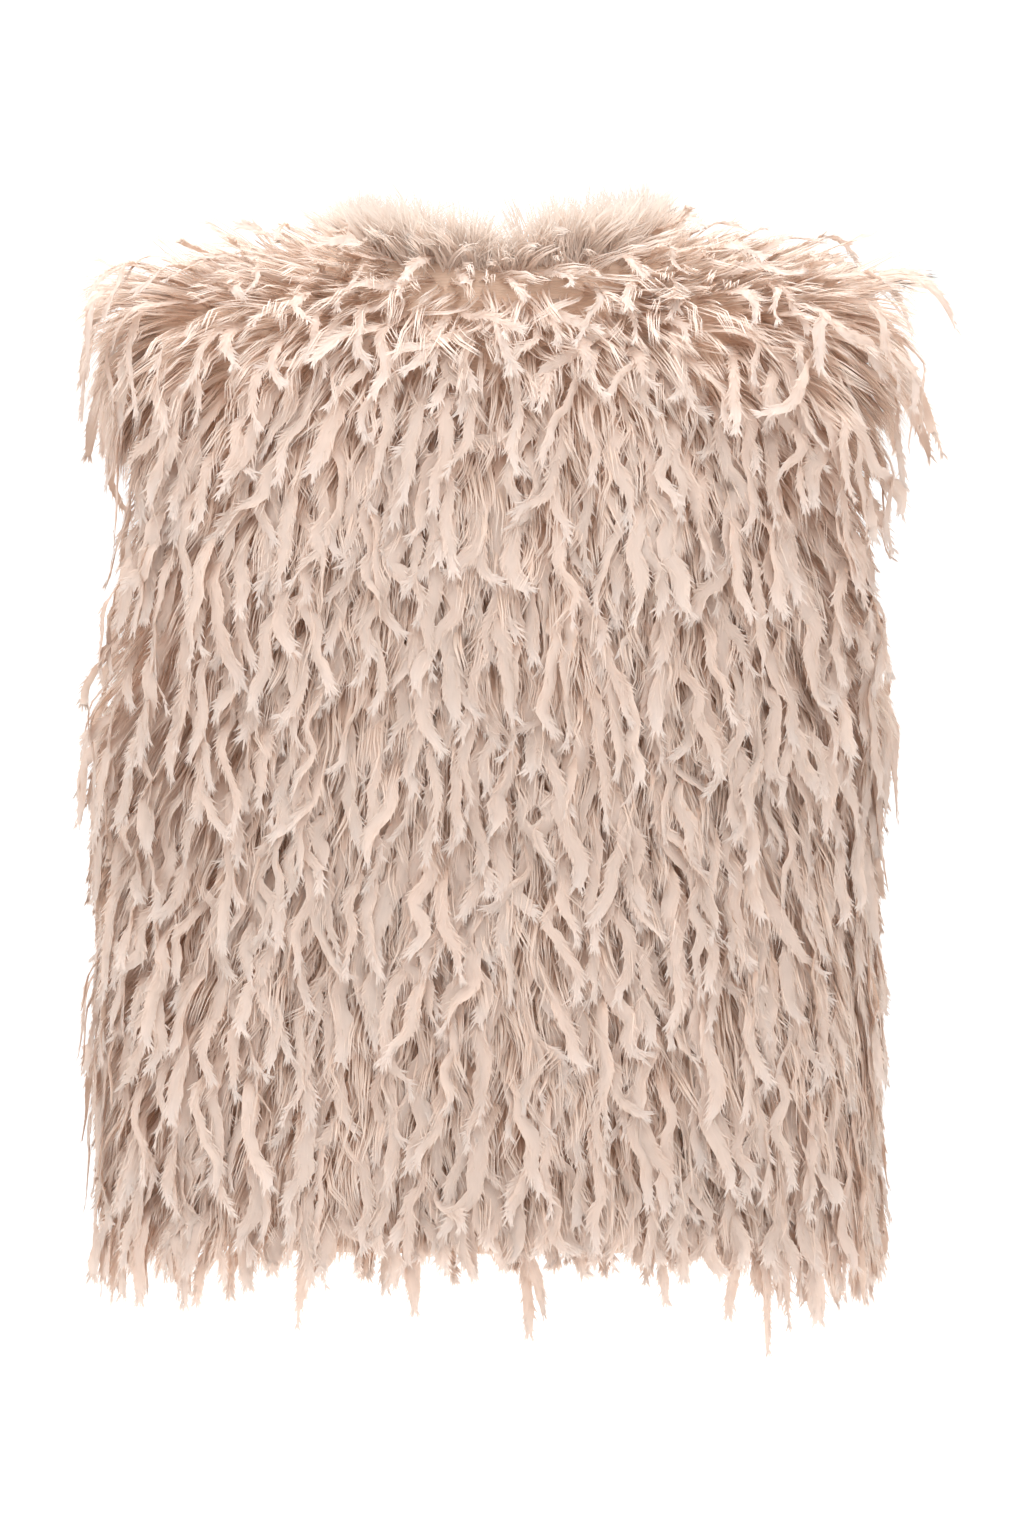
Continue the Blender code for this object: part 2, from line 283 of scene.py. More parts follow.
cloth = {
    "weld": 0.00002,
    "spineTop": -0.12,  # the line that inner faces look at ends this high
    "facing": -0.35,
    "quadAngles": (50, 60),
    "smoothLevels": 1,
    "thickness": 0.0016,
    "panels": {"backCloth": "back", "leftFrontCloth": "front_left", "rightFrontCloth": "front_right"},
}


def cutSheet(name, node):
    piece = bpy.data.objects.new(name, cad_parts[node].data.copy())
    bpy.context.scene.collection.objects.link(piece)
    piece.data.materials.clear()
    makeActive(piece)
    bpy.ops.object.mode_set(mode="EDIT")
    bpy.ops.mesh.select_all(action="SELECT")
    bpy.ops.mesh.remove_doubles(threshold=cloth["weld"])
    bpy.ops.mesh.select_all(action="DESELECT")
    bpy.ops.object.mode_set(mode="OBJECT")
    for face in piece.data.polygons:
        centre = np.array(face.center)
        spine = np.array((0, 0, min(centre[2], cloth["spineTop"])))
        outward = unit(centre - spine)
        face.select = bool(np.dot(outward, np.array(face.normal)) > cloth["facing"])
    bpy.ops.object.mode_set(mode="EDIT")
    bpy.ops.mesh.select_mode(type="FACE")
    bpy.ops.mesh.delete(type="FACE")
    bpy.ops.mesh.select_all(action="SELECT")
    bpy.ops.mesh.flip_normals()
    faceAngle, shapeAngle = (math.radians(angle) for angle in cloth["quadAngles"])
    bpy.ops.mesh.tris_convert_to_quads(face_threshold=faceAngle, shape_threshold=shapeAngle)
    bpy.ops.object.mode_set(mode="OBJECT")
    smooth = piece.modifiers.new("smooth", "SUBSURF")
    smooth.levels = smooth.render_levels = cloth["smoothLevels"]
    bpy.ops.object.modifier_apply(modifier="smooth")
    bpy.ops.object.shade_smooth()
    return piece


def sheetArrays(piece):
    mesh = piece.data
    mesh.calc_loop_triangles()
    points = np.empty(len(mesh.vertices) * 3)
    normals = np.empty(len(mesh.vertices) * 3)
    triangles = np.empty(len(mesh.loop_triangles) * 3, dtype=np.int32)
    mesh.vertices.foreach_get("co", points)
    mesh.vertices.foreach_get("normal", normals)
    mesh.loop_triangles.foreach_get("vertices", triangles)
    return points.reshape(-1, 3), normals.reshape(-1, 3), triangles.reshape(-1, 3)


def thicken(piece):
    makeActive(piece)
    wall = piece.modifiers.new("wall", "SOLIDIFY")
    wall.thickness = cloth["thickness"]
    wall.offset = 1.0
    bpy.ops.object.modifier_apply(modifier="wall")


sheets = {name: cutSheet(name, node) for name, node in cloth["panels"].items()}
panelArrays = {name: sheetArrays(piece) for name, piece in sheets.items()}
for piece in sheets.values():
    thicken(piece)
print("cloth cut:", {name: len(piece.data.polygons) for name, piece in sheets.items()})


class Ground:
    # the whole garment's cloth, which the locks lie over
    def __init__(self, arrays):
        counts = np.cumsum([0] + [len(points) for points, _, _ in arrays])
        self.points = np.concatenate([points for points, _, _ in arrays])
        self.normals = np.concatenate([normals for _, normals, _ in arrays])
        self.triangles = np.concatenate([tris + start for (_, _, tris), start in zip(arrays, counts)])
        self.tree = BVHTree.FromPolygons(self.points.tolist(), self.triangles.tolist())

    def nearest(self, places):
        found = [self.tree.find_nearest(place) for place in places.tolist()]
        spots = np.array([spot[0] for spot in found])
        corners = self.triangles[[spot[2] for spot in found]]
        return spots, self.softNormals(spots, corners)

    def softNormals(self, spots, corners):
        first, second, third = (self.points[corners[:, index]] for index in range(3))
        whole = np.linalg.norm(np.cross(second - first, third - first), axis=1) + 1e-15
        shares = [
            np.linalg.norm(np.cross(second - spots, third - spots), axis=1) / whole,
            np.linalg.norm(np.cross(third - spots, first - spots), axis=1) / whole,
            np.linalg.norm(np.cross(first - spots, second - spots), axis=1) / whole,
        ]
        return unit(sum(self.normals[corners[:, index]] * shares[index][:, None] for index in range(3)))


ground = Ground(list(panelArrays.values()))


def treeOf(*nodes):
    # search tree over some of the frame's solids
    points, faces = [], []
    for node in nodes:
        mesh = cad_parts[node].data
        start = len(points)
        points += [vert.co[:] for vert in mesh.vertices]
        faces += [[start + index for index in face.vertices] for face in mesh.polygons]
    return BVHTree.FromPolygons(points, faces)


neckTree = treeOf("neck_locks")
armholeTree = treeOf("armhole_locks_left", "armhole_locks_right")


def sprinkle(arrays, count, rng):
    # random places over one panel, as many on each patch as its area asks for
    points, normals, triangles = arrays
    first, second, third = (points[triangles[:, index]] for index in range(3))
    area = np.linalg.norm(np.cross(second - first, third - first), axis=1)
    chosen = triangles[rng.choice(len(area), count, p=area / area.sum())]
    a, b = np.sqrt(rng.random((count, 1))), rng.random((count, 1))
    shares = (1 - a, a * (1 - b), a * b)
    spots = sum(points[chosen[:, index]] * shares[index] for index in range(3))
    return spots, unit(sum(normals[chosen[:, index]] * shares[index] for index in range(3)))


scattering = {"area": 0.3, "triesPerRoot": 4}


def scatter(arrays, spacing, rng):
    # roots all over one panel, no two nearer than the spacing
    tries = int(scattering["area"] / spacing**2 * scattering["triesPerRoot"])
    spots, normals = sprinkle(arrays, tries, rng)
    cells, kept = {}, []
    around = [(i, j, k) for i in (-1, 0, 1) for j in (-1, 0, 1) for k in (-1, 0, 1)]
    for index, spot in enumerate(spots.tolist()):
        key = [math.floor(value / spacing) for value in spot]
        beside = [(key[0] + i, key[1] + j, key[2] + k) for i, j, k in around]
        near = [other for cell in beside for other in cells.get(cell, ())]
        if all(math.dist(spot, other) >= spacing for other in near):
            cells.setdefault(tuple(key), []).append(spot)
            kept.append(index)
    return spots[kept], normals[kept]


def edgeRoots(arrays, tree, edge, rng):
    # extra roots close to an edge, where the pile is thickest
    spots, normals = sprinkle(arrays, edge["tries"], rng)
    gap = np.array([tree.find_nearest(spot)[3] for spot in spots.tolist()])
    near = (gap < edge["edge"]) & (spots[:, 2] > edge["above"])
    return spots[near], normals[near]


# which way the fur is combed: down, fanning out from the neck, and parted along the shoulder seams

comb = {"fan": 0.34, "fanTop": 1.3, "topFrom": -0.15, "topTo": -0.02, "seamAt": 0.004, "parting": 0.11}
downward = np.array((0.0, 0.0, -1.0))


def fanned(spots):
    forward = spots[:, 1] - comb["seamAt"]
    parted = forward + np.sign(forward) * comb["parting"]
    return unit(np.stack([spots[:, 0], parted, np.zeros(len(spots))], axis=1))


def combed(spots, normals):
    atTop = ease(comb["topFrom"], comb["topTo"], spots[:, 2:3])
    weight = comb["fan"] + (comb["fanTop"] - comb["fan"]) * atTop
    way = downward + fanned(spots) * weight
    return unit(way - normals * dot(way, normals))


# how locks and undercoat grow: lengths in metres, angles in radians

locksGrowth = {
    "spacing": 0.0124,
    "length": (0.058, 0.098),
    "width": (0.0050, 0.0096),
    "thick": 0.16,
    "steps": 13,
    "rise": (0.011, 0.020),
    "riseRun": 0.016,
    "stand": (0.5, 1.0),
    "wave": (0.12, 0.55),
    "waveLength": (0.034, 0.066),
    "kink": (0.20, 0.58),
    "kinkLength": (0.019, 0.031),
    "curl": 0.35,
    "twist": 0.45,
    "tipLift": 0.006,
    "topShort": 0.28,
    "topNarrow": 0.40,
    "topLift": 0.013,
    "overhang": 0.014,
    "stands": 0.2,
    "paleFrom": 0.01,
    # near the top the colour starts further towards the pale tip: painted light on the shoulders and
    # neck, as if lit from above
    "paintedTopLight": 0.93,
    "hemBelow": (0.004, 0.026),
    "hairs": 115,
    "hairReach": (0.0034, 0.0072),
    "hairBase": 0.0011,
    "rimBias": 0.6,
    "splay": 0.56,
    "softness": 0.55,
}
undercoatGrowth = dict(
    locksGrowth,
    spacing=0.0061,
    length=(0.030, 0.050),
    steps=3,
    rise=(0.009, 0.017),
    riseRun=0.010,
    wave=(0.05, 0.30),
    kink=(0.0, 0.0),
    tipLift=0.004,
    topShort=-0.20,
    topNarrow=0.0,
    topLift=0.019,
    stands=0.6,
    hemBelow=(0.002, 0.016),
    hairs=9,
    hairWidth=(0.0007, 0.0014),
    spread=0.0027,
    gather=0.40,
    # the undercoat also starts further towards its pale tip near the top: painted light on the upper coat
    paintedTopLight=0.9,
    softness=0.8,
)
fluffGrowth = dict(
    undercoatGrowth,
    stands=1.0,
    hairs=12,
    hairWidth=(0.0005, 0.0011),
    spread=0.0045,
    gather=1.1,
    paintedTopLight=0.0,
)
armholeGrowth = dict(
    undercoatGrowth,
    stands=0.0,
    length=(0.040, 0.060),
    overhang=0.006,
    hairs=10,
    spread=0.0040,
)

# fluff that stands up round the neck, and fluff that hangs past the armholes
neck = {
    "reach": 0.026,
    "fullShare": 0.3,
    "topHeight": 0.021,
    "topSpread": (-0.010, 0.003),
    "sideDrop": (0.012, 0.004),
    "sideRange": (0.05, 0.09),
    "notch": 0.013,
    "notchWidth": 0.024,
    "overshoot": 0.5,
    "shortest": 0.016,
    "longest": 0.062,
    "lift": 0.010,
    "lean": 0.12,
    "disorder": 0.30,
    "flop": (0.15, 0.65),
    "flopOut": 0.6,
    "flopRange": (0.1, 0.6),
    "edge": 0.007,
    "above": -0.1,
    "tries": 60000,
}
armhole = {"edge": 0.010, "above": -0.095, "tries": 16000}

# how every path runs over the cloth and past its edges
route = {
    "top": (-0.10, -0.01),
    "shoulderAcross": (0.13, 0.19),
    "shoulderHeight": (-0.13, -0.06),
    "droop": 0.65,
    "rightDroopLess": 0.25,
    "sway": 0.12,
    "topSway": 2.0,
    "bendFull": 0.35,
    "slope": (-0.55, 0.9),
    "pastEdge": (0.002, 0.010),
    "hangSwing": 0.12,
    "keep": 0.34,
    "turn": 0.66,
}

# fuller and flatter stretches of the coat: side, heights from and to, and how much the pile lifts
fullness = (
    {"side": -1, "from": -0.60, "to": -0.46, "lift": 0.005},
    {"side": -1, "from": -0.46, "to": -0.25, "lift": 0.010},
    {"side": -1, "from": -0.25, "to": -0.13, "lift": 0.017},
    {"side": -1, "from": -0.13, "to": 0.03, "lift": 0.008},
    {"side": 1, "from": -0.60, "to": -0.26, "lift": -0.006},
    {"side": 1, "from": -0.26, "to": -0.13, "lift": 0.009},
    {"side": 1, "from": -0.13, "to": 0.03, "lift": 0.019},
)
fullnessBlend = {"across": (0.10, 0.19), "blur": 0.02}


def extraLift(roots):
    lift = np.zeros(len(roots))
    blur = fullnessBlend["blur"]
    for row in fullness:
        beside = ease(*fullnessBlend["across"], roots[:, 0] * row["side"])
        above = ease(row["from"] - blur, row["from"] + blur, roots[:, 2])
        below = 1 - ease(row["to"] - blur, row["to"] + blur, roots[:, 2])
        lift += row["lift"] * beside * (above * below)
    return lift


# where the hem's edge hangs lower or higher, across the back
hemWaves = (
    {"x": -0.204, "drop": 0.004},
    {"x": -0.145, "drop": 0.003},
    {"x": -0.063, "drop": 0.006},
    {"x": 0.012, "drop": 0.006},
    {"x": 0.041, "drop": -0.006},
    {"x": 0.077, "drop": 0.003},
    {"x": 0.104, "drop": -0.006},
    {"x": 0.180, "drop": 0.003},
)
hem = {"sideDrop": 0.024, "sideRange": (0.05, 0.20), "raise": 0.007, "waveWidth": 0.018}


def hemDrop(roots, growth, rng):
    # how far tips may hang below the hem: a little more at the sides
    drop = rng.uniform(*growth["hemBelow"], len(roots))
    drop += hem["sideDrop"] * ease(*hem["sideRange"], np.abs(roots[:, 0]))
    for row in hemWaves:
        beside = np.abs(roots[:, 0] - row["x"])
        drop += row["drop"] * (1 - ease(0.0, hem["waveWidth"], beside)) * (roots[:, 1] < 0)
    return drop - hem["raise"]


def growPaths(roots, normals, growth, rng, strays=None):
    count = len(roots)
    steps = growth["steps"]
    neckGap = np.array([neckTree.find_nearest(root)[3] for root in roots.tolist()])
    standing = growth["stands"] * (1 - ease(neck["reach"] * neck["fullShare"], neck["reach"], neckGap))
    beside, level = np.abs(roots[:, 0]), roots[:, 2]
    atTop = ease(*route["top"], level)
    atShoulder = ease(*route["shoulderAcross"], beside) * ease(*route["shoulderHeight"], level)
    length = rng.uniform(*growth["length"], count) * (1 - growth["topShort"] * atTop * (1 - atShoulder))
    length += growth["overhang"] * atShoulder
    length = np.minimum(length, np.maximum(level - hemHeight, 0) + hemDrop(roots, growth, rng))
    headroom = neck["topHeight"] + rng.uniform(*neck["topSpread"], count) - level
    headroom -= np.where(roots[:, 0] < 0, *neck["sideDrop"]) * ease(*neck["sideRange"], beside)
    headroom -= neck["notch"] * (1 - ease(0.0, neck["notchWidth"], beside))
    upLength = headroom * (1.0 + neck["overshoot"] * rng.random(count))
    length = length * (1 - standing) + np.clip(upLength, neck["shortest"], neck["longest"]) * standing
    rise = rng.uniform(*growth["rise"], count) + extraLift(roots)
    rise = rise + neck["lift"] * standing + growth["topLift"] * atTop
    flop = rng.uniform(*neck["flop"], count) + neck["flopOut"] * ease(0.0, neck["reach"], neckGap)
    flop = np.minimum(flop, 1.0)
    droop = (route["droop"] - route["rightDroopLess"] * atShoulder * (roots[:, 0] > 0))[:, None]
    stand = rng.uniform(*growth["stand"], count)
    wave = rng.uniform(*growth["wave"], count)
    waveLength = rng.uniform(*growth["waveLength"], count)
    kink = rng.uniform(*growth["kink"], count)
    kinkLength = rng.uniform(*growth["kinkLength"], count)
    phase, kinkPhase = rng.uniform(0, math.tau, (2, count))
    curl = rng.normal(0, growth["curl"], count)
    lift = rng.uniform(0, growth["tipLift"], count)
    sway = rng.normal(0, route["sway"], count) * (1 + route["topSway"] * atTop)
    if strays:
        first = count - len(strays["length"])
        length[first:], sway[first:], curl[first:] = strays["length"], strays["lean"], strays["curl"]

    step = length / steps
    here = roots + normals * cloth["thickness"]
    upright = unit(-downward + normals * neck["lean"] + rng.normal(0, neck["disorder"], (count, 3)))
    upShare = standing[:, None]
    laid = combed(roots, normals) * np.cos(stand)[:, None] + normals * np.sin(stand)[:, None]
    way = unit(laid * (1 - upShare) + upright * upShare)
    places, facings, ways = [here], [normals + fanned(roots) * upShare], [way]
    for number in range(1, steps + 1):
        run = step * number
        share = number / steps
        spots, soft = ground.nearest(here)
        away = here - spots
        height = dot(away, soft)
        past = np.linalg.norm(away - soft * height, axis=1)
        waves = wave * np.sin(math.tau * run / waveLength + phase)
        kinks = kink * np.sin(math.tau * run / kinkLength + kinkPhase)
        angle = sway + (waves + kinks) * ease(0.0, route["bendFull"], share) + curl * share**2
        target = turnAround(combed(spots, soft), soft, angle)
        goal = rise * (1 - np.exp(-run / growth["riseRun"])) + lift * share**3 + cloth["thickness"]
        slope = np.clip((goal[:, None] - height) / step[:, None], *route["slope"])
        wanted = unit(target + soft * slope)
        hanging = unit(way + downward * droop + turnAround(target, soft, angle) * route["hangSwing"])
        free = ease(*route["pastEdge"], past)[:, None]
        wanted = wanted * (1 - free) + hanging * free
        raised = standing * (1 - flop * ease(*neck["flopRange"], share))
        wanted = wanted + (upright - wanted) * raised[:, None]
        way = unit(way * route["keep"] + wanted * route["turn"])
        here = here + way * step[:, None]
        places.append(here)
        facings.append(soft + fanned(spots) * upShare)
        ways.append(way)
    ways = np.stack(ways, axis=1)
    facings = np.stack(facings, axis=1)
    return {
        "places": np.stack(places, axis=1),
        "facings": unit(facings - ways * dot(facings, ways)),
        "ways": ways,
        "narrow": 1 - growth["topNarrow"] * atTop,
        "atTop": atTop,
        "cell": rng.integers(toneCells, size=count),
    }


def newMesh(name, groups, material):
    # each group of faces has its own points, corner normals and places in the fur's colour map
    mesh = bpy.data.meshes.new(name)
    starts = np.cumsum([0] + [len(group["points"]) for group in groups])
    faces = [group["faces"] + start for group, start in zip(groups, starts)]
    sizes = np.concatenate([np.full(len(block), block.shape[1]) for block in faces])
    corners = np.concatenate([block.ravel() for block in faces])
    points = np.concatenate([group["points"] for group in groups])
    mesh.vertices.add(len(points))
    mesh.vertices.foreach_set("co", points.ravel().astype(np.float32))
    mesh.loops.add(len(corners))
    mesh.loops.foreach_set("vertex_index", corners.astype(np.int32))
    mesh.polygons.add(len(sizes))
    mesh.polygons.foreach_set("loop_start", np.concatenate([[0], np.cumsum(sizes)[:-1]]).astype(np.int32))
    layer = mesh.uv_layers.new(name="OFBake")
    uvs = np.concatenate([group["uvs"].reshape(-1, 2) for group in groups])
    layer.data.foreach_set("uv", uvs.ravel().astype(np.float32))
    mesh.update(calc_edges=True)
    mesh.polygons.foreach_set("use_smooth", np.ones(len(mesh.polygons), dtype=bool))
    normals = np.concatenate([group["normals"].reshape(-1, 3) for group in groups])
    mesh.normals_split_custom_set(normals.tolist())
    mesh.materials.append(material)
    piece = bpy.data.objects.new(name, mesh)
    bpy.context.scene.collection.objects.link(piece)
    return piece


# a lock is a flat closed ribbon: low ridge above, low keel below, thin rims

ribbon = {
    "across": (-0.5, 0.0, 0.5, 0.0),
    "over": (0.0, 0.5, 0.0, -0.5),
    "fibre": (0.0, 0.5, 1.0, 0.5),
    "cellFrom": 0.08,
    "cellWidth": 0.84,
    "ragged": 0.08,
    "thickest": 0.0016,
    "bluntShare": 0.8,
    "rootWidth": 0.72,
    "rootSwell": 0.28,
    "rootEnd": 0.15,
    "pointFrom": 0.65,
    "pointLoss": 0.85,
    "frayFrom": 0.86,
    "frayLoss": 0.50,
    "swell": 0.12,
    "swellTurns": (5, 11),
    "swellPhase": (0, 6),
    "spinStart": 0.3,
    "spinGain": 0.7,
    "rollTurns": (3, 8),
    "underSoft": 0.5,
    # the keel faces take their colour nearer the root: painted shade under the locks
    "underPaintedShade": 0.4,
}
tipPlace = 0.99  # where tips lie along the colour map


def widthProfile(share, blunt):
    root = ribbon["rootWidth"] + ribbon["rootSwell"] * ease(0.0, ribbon["rootEnd"], share)
    pointed = 1 - ease(ribbon["pointFrom"], 1.0, share) * ribbon["pointLoss"]
    frayed = 1 - ease(ribbon["frayFrom"], 1.0, share) * ribbon["frayLoss"]
    return root * np.where(blunt, frayed, pointed)


def sweepRibbons(paths, growth, rng):
    places, facings, ways = paths["places"], paths["facings"], paths["ways"]
    count, rings = places.shape[:2]
    sides = len(ribbon["across"])
    share = np.linspace(0, 1, rings)[None, :]
    width = (rng.uniform(*growth["width"], count) * paths["narrow"])[:, None]
    blunt = rng.random((count, 1)) < ribbon["bluntShare"]
    swellTurns = rng.uniform(*ribbon["swellTurns"], (count, 1))
    swellPhase = rng.uniform(*ribbon["swellPhase"], (count, 1))
    swell = 1 + ribbon["swell"] * np.sin(share * swellTurns + swellPhase)
    width = width * widthProfile(share, blunt) * swell
    spin = rng.normal(0, growth["twist"], (count, 1)) * paths["narrow"][:, None]
    roll = rng.normal(0, growth["twist"], (count, 1))
    roll = roll * np.sin(share * rng.uniform(*ribbon["rollTurns"], (count, 1)))
    turn = spin * (ribbon["spinStart"] + share * ribbon["spinGain"]) + roll
    across = turnAround(unit(np.cross(facings, ways)), ways, turn)
    over = unit(np.cross(ways, across))
    thick = np.minimum(width * growth["thick"], ribbon["thickest"])
    points = []
    for sideways, upward in zip(ribbon["across"], ribbon["over"]):
        rough = 1 + rng.normal(0, ribbon["ragged"], (count, rings)) * (sideways != 0)
        aside = across * (width * sideways * rough)[..., None]
        points.append(places + aside + over * (thick * upward)[..., None])
    points = np.stack(points, axis=2)

    ring = np.arange(count * rings * sides).reshape(count, rings, sides)
    turned = np.roll(ring, -1, axis=2)
    quads = np.stack([ring[:, :-1], ring[:, 1:], turned[:, 1:], turned[:, :-1]], axis=-1)
    ends = np.concatenate([ring[:, 0], ring[:, -1, ::-1]])
    soft = unit(over * (1 - growth["softness"]) + facings * growth["softness"])
    under = unit(facings * ribbon["underSoft"] - over)
    shown = np.stack([soft, soft, under, under], axis=2)
    quadNormals = np.stack([shown[:, :-1], shown[:, 1:], shown[:, 1:], shown[:, :-1]], axis=3)
    endNormals = np.concatenate([-ways[:, 0], ways[:, -1]])[:, None, :].repeat(sides, axis=1)

    fibre = np.array(ribbon["fibre"])[None, None, :]
    u = (paths["cell"][:, None, None] + ribbon["cellFrom"] + ribbon["cellWidth"] * fibre) / toneCells
    u = np.broadcast_to(u, (count, rings, sides))
    # the colour ramp starts later near the top: painted light on the shoulders and neck
    pale = np.maximum(growth["paleFrom"], growth["paintedTopLight"] * paths["atTop"])[:, None, None]
    v = np.broadcast_to(pale + (tipPlace - pale) * share[..., None], (count, rings, sides))
    uv = np.stack([u, v], axis=-1).reshape(-1, 2)
    points = points.reshape(-1, 3)
    quads = quads.reshape(-1, 4)
    quadUvs = uv[quads].reshape(count, rings - 1, sides, 4, 2)
    # the keel faces take colour nearer the warm root: painted shade on the undersides of the locks
    quadUvs[:, :, 2:, :, 1] *= ribbon["underPaintedShade"]
    shape = {"across": across, "over": over, "width": width, "soft": soft}
    body = {"points": points, "faces": quads, "uvs": quadUvs, "normals": quadNormals.reshape(-1, 4, 3)}
    caps = {
        "points": points[ends].reshape(-1, 3),
        "faces": np.arange(ends.size).reshape(-1, sides),
        "uvs": uv[ends],
        "normals": endNormals,
    }
    return [body, caps], shape


lockHair = {
    "along": (0.08, 1.10),
    "rim": 0.47,
    "above": 0.0004,
    "stray": 0.15,
    "lift": (0.0, 0.16),
    "cellMiddle": 0.5,
    "cellSpread": 0.3,
    "cellSides": (-0.08, 0.08, 0.0),
    "paler": (0.0, 0.0, 0.09),
    "rootPlace": 0.01,
    "turned": 0.18,
}


def growLockHairs(paths, shape, growth, rng):
    # short hairs over each ribbon and past its rims, one thin triangle each
    places, ways = paths["places"], paths["ways"]
    count, rings = places.shape[:2]
    owner = np.repeat(np.arange(count), growth["hairs"])
    many = len(owner)
    # a place just short of the last ring, so that there is always a next one
    spot = np.minimum(rng.uniform(*lockHair["along"], many), 1.0) * (rings - 1.001)
    low = spot.astype(int)
    rest = (spot - low)[:, None]

    def at(values):
        return values[owner, low] * (1 - rest) + values[owner, low + 1] * rest

    along, across = unit(at(ways)), unit(at(shape["across"]))
    over, soft = unit(at(shape["over"])), unit(at(shape["soft"]))
    side = rng.uniform(-1, 1, (many, 1))
    side = np.sign(side) * np.abs(side)**growth["rimBias"]
    aside = across * at(shape["width"][..., None]) * side * lockHair["rim"]
    edge = at(places) + aside + over * lockHair["above"]
    splay = side * growth["splay"] + rng.normal(0, lockHair["stray"], (many, 1))
    heading = unit(along + across * splay + over * rng.uniform(*lockHair["lift"], (many, 1)))
    reach = rng.uniform(*growth["hairReach"], (many, 1))
    base = unit(np.cross(over, heading)) * growth["hairBase"] / 2
    points = np.stack([edge - base, edge + base, edge + heading * reach], axis=1)
    u = paths["cell"][owner][:, None] + lockHair["cellMiddle"] + side * lockHair["cellSpread"]
    u = (u + np.array(lockHair["cellSides"])) / toneCells
    v = (spot / (rings - 1))[:, None] + np.array(lockHair["paler"])
    v = np.clip(v, lockHair["rootPlace"], tipPlace)
    normals = unit(soft + rng.normal(0, lockHair["turned"], (many, 3)))
    return [{
        "points": points.reshape(-1, 3),
        "faces": np.arange(many * 3).reshape(-1, 3)[:, ::-1],
        "uvs": np.stack([u, v], axis=-1)[:, ::-1],
        "normals": normals[:, None, :].repeat(3, axis=1),
    }]


tuft = {"flatter": 0.6, "stray": 0.0012, "tipWidth": 0.4, "turn": 0.6, "cellSides": (0.3, 0.5, 0.7)}


def growUndercoatHairs(paths, growth, rng):
    # a few flat hairs around each path, drawn together or apart towards the tip
    places, facings, ways = paths["places"], paths["facings"], paths["ways"]
    count, rings = places.shape[:2]
    hairs = growth["hairs"]
    share = np.linspace(0, 1, rings)
    across = unit(np.cross(facings, ways))
    drawn = 1 - share * (1 - growth["gather"])
    sideways = rng.normal(0, growth["spread"], (count, hairs, 1)) * drawn
    upward = rng.normal(0, growth["spread"] * tuft["flatter"], (count, hairs, 1)) * drawn
    stray = rng.normal(0, tuft["stray"], (count, hairs, 3))[:, :, None, :] * share[:, None]
    aside = across[:, None] * sideways[..., None]
    centre = places[:, None] + aside + facings[:, None] * upward[..., None] + stray
    taper = np.linspace(1, tuft["tipWidth"], rings)[:, None]
    half = rng.uniform(*growth["hairWidth"], (count, hairs, 1, 1)) / 2 * taper
    turn = rng.normal(0, tuft["turn"], (count, hairs, 1)).repeat(rings, axis=2)
    flat = turnAround(across[:, None].repeat(hairs, axis=1), ways[:, None].repeat(hairs, axis=1), turn)
    upper = np.cross(ways[:, None], flat)
    soft = unit(facings[:, None] * growth["softness"] + upper * (1 - growth["softness"]))
    cell = paths["cell"].repeat(hairs)
    # the colour ramp starts later near the top: painted light on the shoulders and neck
    pale = np.maximum(growth["paleFrom"], growth["paintedTopLight"] * paths["atTop"]).repeat(hairs)[:, None]
    lines = (centre - flat * half, centre + flat * half, centre, soft)
    left, right, centre, soft = (values.reshape(-1, rings, 3) for values in lines)

    def strip(corners, rows, sides):
        # one face of every hair from its corner points, their rows and their sides of the hair
        many = len(cell)
        u = (cell[:, None] + np.array(sides)) / toneCells
        v = pale + (tipPlace - pale) * share[list(rows)]
        return {
            "points": np.stack(corners, axis=1).reshape(-1, 3),
            "faces": np.arange(many * len(rows)).reshape(many, -1),
            "uvs": np.stack([u, v], axis=-1),
            "normals": soft[:, list(rows)],
        }

    near, middle, far = tuft["cellSides"]
    faces = []
    for row in range(rings - 2):
        corners = (left[:, row], left[:, row + 1], right[:, row + 1], right[:, row])
        faces.append(strip(corners, (row, row + 1, row + 1, row), (near, near, far, far)))
    corners = (left[:, -2], centre[:, -1], right[:, -2])
    faces.append(strip(corners, (rings - 2, rings - 1, rings - 2), (near, middle, far)))
    return faces


locksMaterial = furMaterial("locksFur", locksFinish)
undercoatMaterial = furMaterial("undercoatFur", undercoatFinish)
litFluffMaterial = furMaterial("neckFurPaintedLight", litFluffFinish)
backingMaterial = clothMaterial("knitBacking", clothFinish)


